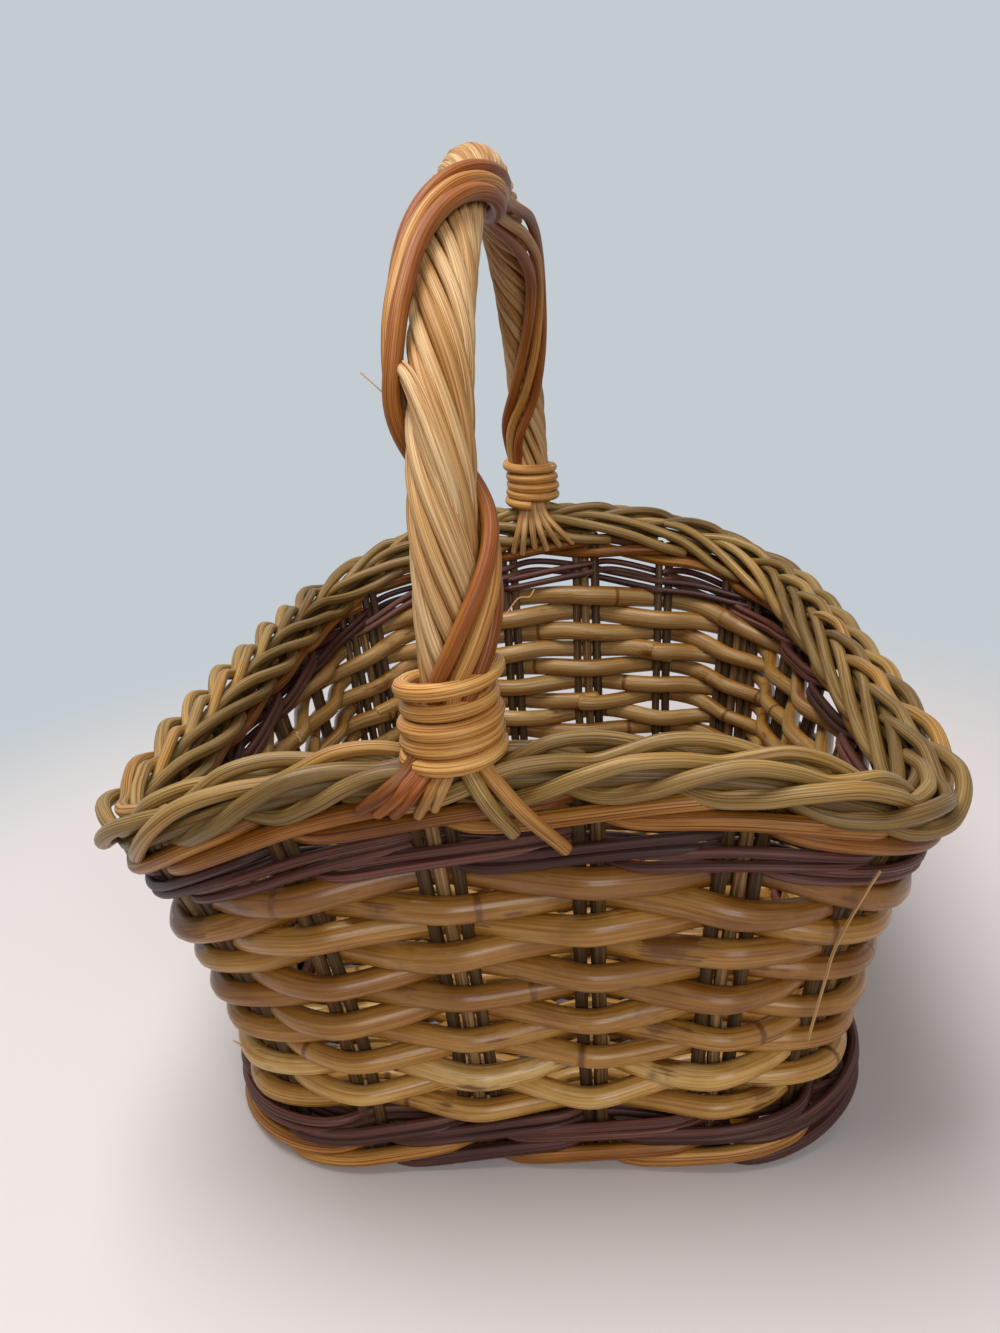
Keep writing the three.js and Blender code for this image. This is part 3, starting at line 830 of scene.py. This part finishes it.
leg = (ARCH_Z - FOOT_Z) / LEG_SHARE
shares = [-leg + (1 + 2 * leg) * step / HANDLE_STEPS for step in range(HANDLE_STEPS + 1)]
axis = [handle_at(share) for share in shares]
axis_lengths = [0.0]
for here, after in zip(axis, axis[1:]):
    axis_lengths.append(axis_lengths[-1] + (after - here).length)

core_size = 2 * STRAND_RING - STRAND_DIAMETER - HANDLE_CORE_GAP
lay("handle_core", "peeled_willow", ["handle_core"], [bent_rod(axis, core_size, HANDLE_CORE_TONE)])

strands = []
for strand in range(STRANDS):
    start = TURN * strand / STRANDS
    sway, lift = wander(*STRAND_SWAY), wander(*STRAND_LIFT)
    points = []
    for share, length in zip(shares, axis_lengths):
        angle = start - TURN * length / STRAND_LAP + sway(length)
        points.append(handle_at(share, angle, STRAND_RING + lift(length)))
    size = STRAND_DIAMETER * chance.uniform(*STRAND_SIZES)
    strands.append(bent_rod(points, size, chance.uniform(*STRAND_TONES)))

# A broken strand that lies on the others: share, angle in degrees and distance from the handle's middle
BROKEN_STRAND = (
    (0.178, -62, 9.6),
    (0.165, -42, 8.8),
    (0.14, -15, 8.3),
    (0.11, 12, 7.6),
    (0.08, 40, 5.8),
    (0.06, 58, 4.0),
)
SPLINTERS = ((0, 4.0), (-12, 1.8), (13, 1.5))  # turn round the handle in degrees and thickness
SPLINTER_TONE = 0.95
SPLINTER_TAPER = 0.35

keys = [(share * LEG_SHARE, angle, ring) for share, angle, ring in BROKEN_STRAND]
for beside, size in SPLINTERS:
    points = []
    for distance, angle, ring in through(keys, HANDLE_KEY_STEPS):
        points.append(handle_at(distance / LEG_SHARE, math.radians(angle + beside), ring))
    strands.append(bent_rod(points[::-1], size, SPLINTER_TONE, taper=SPLINTER_TAPER))

# Rods that end below the bindings, spread over the border: x where they leave the binding, x and z of their
# tips, thickness and tone
Splay = namedtuple("Splay", "x tip_x tip_z size tone")
NEAR_OUTER = (
    Splay(-12.6, -19.6, 129.0, 3.4, 0.35),
    Splay(-10.6, -15.6, 130.5, 3.0, 0.5),
    Splay(-3.6, 14.4, 119.0, 4.4, 0.3),
)
NEAR_OLIVE_END = (Splay(-7.4, 2.6, 123.6, 4.8, 0.75),)
NEAR_WRAP_ENDS = (
    Splay(-19.4, -33.0, 131.0, 4.5, 0.16),
    Splay(-17.2, -29.2, 130.0, 4.5, 0.34),
    Splay(-15.0, -25.2, 129.4, 4.2, 0.24),
)
NEAR_INNER = (
    Splay(-14.5, -24.0, 127.0, 3.4, 0.4),
    Splay(-11.0, -15.0, 125.5, 3.5, 0.55),
    Splay(-7.5, -5.0, 126.0, 3.5, 0.35),
    Splay(-4.0, 4.0, 127.0, 3.4, 0.5),
)
FAR_INNER = (
    Splay(-9.5, -14.5, 124.5, 3.4, 0.55),
    Splay(-7.5, -10.5, 123.5, 3.4, 0.75),
    Splay(-5.3, -4.5, 126.0, 3.5, 0.6),
    Splay(-3.2, 1.0, 125.0, 3.5, 0.85),
    Splay(-1.2, 7.0, 126.5, 3.4, 0.65),
    Splay(0.6, 13.0, 127.5, 3.4, 0.7),
)
FAR_OUTER = (
    Splay(-10.0, -19.0, 124.0, 3.4, 0.4),
    Splay(-6.5, -9.0, 123.0, 3.5, 0.55),
    Splay(-2.5, 2.0, 123.0, 3.5, 0.35),
    Splay(1.0, 11.0, 124.0, 3.4, 0.5),
)
# Distances of a splayed rod from the plane of the handle's foot: in the binding, under it, on the border
# and at its tip
OVER_OUTSIDE = (4.5, 7.6, 11.2, 7.5)
OVER_INSIDE = (-4.5, -7.4, -11.6, -9.8)
SPLAY_TOP = 152.0
SPLAY_BEND = 142.0
SPLAY_MIDDLE = 0.45  # share of the way from there to the tip at which a rod lies on the border
GATHERED = 0.5  # how close the rods stand in the binding, as a share of their places under it

wraps, olive_ends = [], []
for end, offsets, group, rods in (
    (-1, OVER_OUTSIDE, NEAR_OUTER, strands),
    (-1, OVER_OUTSIDE, NEAR_OLIVE_END, olive_ends),
    (-1, OVER_OUTSIDE, NEAR_WRAP_ENDS, wraps),
    (-1, OVER_INSIDE, NEAR_INNER, strands),
    (1, OVER_INSIDE, FAR_INNER, strands),
    (1, OVER_OUTSIDE, FAR_OUTER, strands),
):
    top_y, bend_y, border_y, tip_y = [end * (FOOT_Y + offset) for offset in offsets]
    foot_x = HANDLE_X + end * HANDLE_SKEW
    for splay in group:
        mid_x = splay.x + (splay.tip_x - splay.x) * SPLAY_MIDDLE
        mid_z = SPLAY_BEND + (splay.tip_z - SPLAY_BEND) * SPLAY_MIDDLE
        keys = [
            (foot_x + (splay.x - foot_x) * GATHERED, top_y, SPLAY_TOP),
            (splay.x, bend_y, SPLAY_BEND),
            (mid_x, border_y, mid_z),
            (splay.tip_x, tip_y, splay.tip_z),
        ]
        rods.append(bent_rod(through(keys, HANDLE_KEY_STEPS), splay.size, splay.tone, taper=ROD_TAPER))
lay("handle_strands", "peeled_willow", node_names("handle_strand", 7), strands)
lay("olive_strand_end", "olive_willow", [], olive_ends)


# Wraps: rods side by side that wind the other way, loose in two places: share, angle in degrees, slack
WRAP_WAY = (
    (-0.04, -5, -3),
    (-0.01, 22, -0.3),
    (0.05, 90, 0.8),
    (0.12, 180, 0),
    (0.17, 262, 1.0),
    (0.215, 291, 1.9),
    (0.255, 308, 1.5),
    (0.285, 332, 1.0),
    (0.31, 363, 0.6),
    (0.33, 394, 0.6),
    (0.35, 425, 0.8),
    (0.372, 453, 1.0),
    (0.4, 479, 0.9),
    (0.44, 506, 0.7),
    (0.5, 524, 0.5),
    (0.57, 516, 0.6),
    (0.64, 488, 1.4),
    (0.72, 469, 1.8),
    (0.8, 486, 0.7),
    (0.9, 535, 0),
    (0.97, 590, 0),
    (1.03, 620, -3),
)
WRAP_TONES = (0.48, 0.84, 0.46)
WRAP_LAY = 0.5  # the wraps' slope to the handle, in radians
WRAP_SIZES = (0.94, 1.05)
WRAP_SWAY = (0.05, 130)  # radians round the handle in so many millimetres along it
WRAP_KEY_STEPS = 12

wrap_keys = [(share * LEG_SHARE, angle, slack) for share, angle, slack in WRAP_WAY]
for wrap, tone in enumerate(WRAP_TONES):
    beside = (wrap - (len(WRAP_TONES) - 1) / 2) * WRAP_DIAMETER / WRAP_RING / math.cos(WRAP_LAY)
    sway = wander(*WRAP_SWAY)
    points = []
    for distance, angle, slack in through(wrap_keys, WRAP_KEY_STEPS):
        turned = math.radians(angle) + beside + sway(distance)
        points.append(handle_at(distance / LEG_SHARE, turned, WRAP_RING + slack))
    wraps.append(bent_rod(points, WRAP_DIAMETER * chance.uniform(*WRAP_SIZES), tone))
lay("handle_wraps", "red_willow", node_names("handle_wrap", 2), wraps)


# Bindings: one cane wound round each foot of the handle, its last turn laid across the others

# shift moves a binding towards +X, start is its lowest height, across the climb of its last turn over the
# others, and ring the distance from its middle to the cane's
Binding = namedtuple("Binding", "name end shift start turns pitch across ring")
BINDINGS = (
    Binding("near_binding", -1, -1.3, 140.3, 4.8, 4.15, 3.2, BINDING_RING + 0.3),
    Binding("far_binding", 1, 0.0, 146.2, 4.4, 3.9, 1.5, BINDING_RING - 0.2),
)
BINDING_STEPS = 28
BINDING_NARROWS = 0.28  # how much closer the cane lies to the handle with each turn
BINDING_TONE = 0.62
BINDING_SWAY = (0.5, 1.7)  # millimetres in so many turns
BINDING_LIFT = (0.4, 1.3)
LAST_TURN = 0.9  # the share of a turn that is laid across
LAST_TURN_OUT = 1.6
LAST_TURN_CURVE = 1.5

for binding in BINDINGS:
    sway, lift = wander(*BINDING_SWAY), wander(*BINDING_LIFT)
    points = []
    for step in range(int(binding.turns * BINDING_STEPS) + 1):
        turn = step / BINDING_STEPS
        last = max(0.0, turn - (binding.turns - LAST_TURN))
        ring = binding.ring - BINDING_NARROWS * turn + sway(turn) + LAST_TURN_OUT * last
        angle = TURN * turn + math.pi
        climb = binding.across * last**LAST_TURN_CURVE
        z = binding.start + binding.pitch * turn + climb + lift(turn)
        x = HANDLE_X + binding.end * HANDLE_SKEW + binding.shift + ring * math.sin(angle)
        points.append(Vector((x, binding.end * (FOOT_Y + ring * math.cos(angle)), z)))
    lay(binding.name, "binding_cane", [binding.name], [bent_rod(points, BINDING_DIAMETER, BINDING_TONE)])


# Loose fibres that stand off the rods: thin hairs and a split fibre, as thickness and way

HAIR = 0.35
SPLIT_FIBRE = 0.8
FIBRE_TONE = 0.7
FIBRE_KEY_STEPS = 5
FIBRES = (
    (HAIR, ((-19, -114, 216), (-22, -113, 220.7), (-27.3, -113, 226.3))),
    (HAIR, ((-17, -113, 226), (-19, -113, 229), (-19.8, -113, 230.1))),
    (HAIR, ((4, -140, 176), (6.7, -138, 178.8), (9, -136, 178.5), (10.1, -135, 179.8))),
    (HAIR, ((-80, -108, 38), (-83, -110, 39.9), (-85.9, -112, 44.1))),
    (
        SPLIT_FIBRE,
        (
            (88.0, -129.0, 104.2),
            (85.1, -128.5, 98.2),
            (80.5, -127.0, 86.6),
            (78.3, -125.0, 77.8),
            (77.4, -123.0, 69.8),
            (76.3, -120.0, 59.7),
            (74.5, -117.0, 45.9),
        ),
    ),
)
loose_fibres = [bent_rod(through(way, FIBRE_KEY_STEPS), size, FIBRE_TONE) for size, way in FIBRES]
lay("loose_fibres", "peeled_willow", [], loose_fibres, roundness=0)


# Stage: a pale floor that fades into the background, soft light and the camera

FLOOR_SIZE = 3.0
FLOOR_FADE = (0.24, 0.45)  # from the middle to where the floor starts to fade and to where it has
AMBIENT_STRENGTH = 0.19
bpy.ops.object.select_all(action="DESELECT")
bpy.ops.mesh.primitive_circle_add(vertices=96, radius=FLOOR_SIZE, fill_type="NGON")
floor = bpy.context.object
floor.name = "floor"

# Painted table: matt and pale, without a pattern
table = bpy.data.materials.new("pale table")
table.use_nodes = True
tree = table.node_tree
surface = tree.nodes["Principled BSDF"]
surface.inputs["Base Color"].default_value = paint("d4ccca")
surface.inputs["Roughness"].default_value = 0.7
spot = add(tree, "ShaderNodeTexCoord", {})["Object"]
from_middle = add(tree, "ShaderNodeVectorMath", {0: spot}, operation="LENGTH")["Value"]
fading = {"Value": from_middle, "From Min": FLOOR_FADE[0], "From Max": FLOOR_FADE[1]}
fade = add(tree, "ShaderNodeMapRange", fading, interpolation_type="SMOOTHSTEP")[0]
clear = add(tree, "ShaderNodeBsdfTransparent", {})[0]
shown = add(tree, "ShaderNodeMixShader", {0: fade, 1: surface.outputs[0], 2: clear})[0]
tree.links.new(shown, tree.nodes["Material Output"].inputs["Surface"])
floor.data.materials.append(table)

world = bpy.data.worlds.new("studio")
bpy.context.scene.world = world
world.use_nodes = True
tree = world.node_tree
ambient = tree.nodes["Background"]
ambient.inputs["Color"].default_value = paint("ffffff")
ambient.inputs["Strength"].default_value = AMBIENT_STRENGTH
backdrop = add(tree, "ShaderNodeBackground", {"Color": paint("c4ccd2"), "Strength": 1.0})[0]
ray = add(tree, "ShaderNodeLightPath", {})
straight_or_mirrored = {0: ray["Is Camera Ray"], 1: ray["Is Glossy Ray"]}
seen = add(tree, "ShaderNodeMath", straight_or_mirrored, operation="MAXIMUM")[0]
seen = add(tree, "ShaderNodeMath", {0: seen, 1: ray["Is Transmission Ray"]}, operation="MAXIMUM")[0]
sky = add(tree, "ShaderNodeMixShader", {0: seen, 1: ambient.outputs[0], 2: backdrop})[0]
tree.links.new(sky, tree.nodes["World Output"].inputs["Surface"])


def softbox(name, place, aim, size, power):
    """A square lamp that is aimed at a point."""
    bpy.ops.object.light_add(type="AREA", location=place)
    lamp = bpy.context.object
    lamp.name = name
    lamp.data.shape = "SQUARE"
    lamp.data.size = size
    lamp.data.energy = power
    lamp.rotation_euler = (Vector(aim) - Vector(place)).to_track_quat("-Z", "Y").to_euler()


softbox("overhead light", place=(-0.25, -0.1, 1.3), aim=(0, 0, 0.1), size=0.8, power=18)
softbox("front fill", place=(0.4, -1.2, 0.7), aim=(0, 0, 0.12), size=0.7, power=8)

# Camera: its place in mm and its angles in radians come from a fit of the basket's outline
IMAGE_HEIGHT = 1333
FOCAL_PIXELS = 1100
CAMERA_PLACE = (24.5, -365.6, 244.6)
YAW = -0.100
PITCH = 0.341
ROLL = 0.077
SENSOR = 36
CLIP_START = 0.01

ahead = Vector((math.sin(YAW) * math.cos(PITCH), math.cos(YAW) * math.cos(PITCH), -math.sin(PITCH)))
level = Vector((math.cos(YAW), -math.sin(YAW), 0))
down = ahead.cross(level)
right = level * math.cos(ROLL) + down * math.sin(ROLL)
up = level * math.sin(ROLL) - down * math.cos(ROLL)
bpy.ops.object.camera_add()
camera = bpy.context.object
axes = Matrix((right, up, -ahead)).transposed()
camera.matrix_world = Matrix.Translation(Vector(CAMERA_PLACE) * MM) @ axes.to_4x4()
camera.data.sensor_fit = "VERTICAL"
camera.data.sensor_height = SENSOR
camera.data.lens = SENSOR * FOCAL_PIXELS / IMAGE_HEIGHT
camera.data.clip_start = CLIP_START
bpy.context.scene.camera = camera
bpy.context.scene.view_settings.view_transform = "Standard"
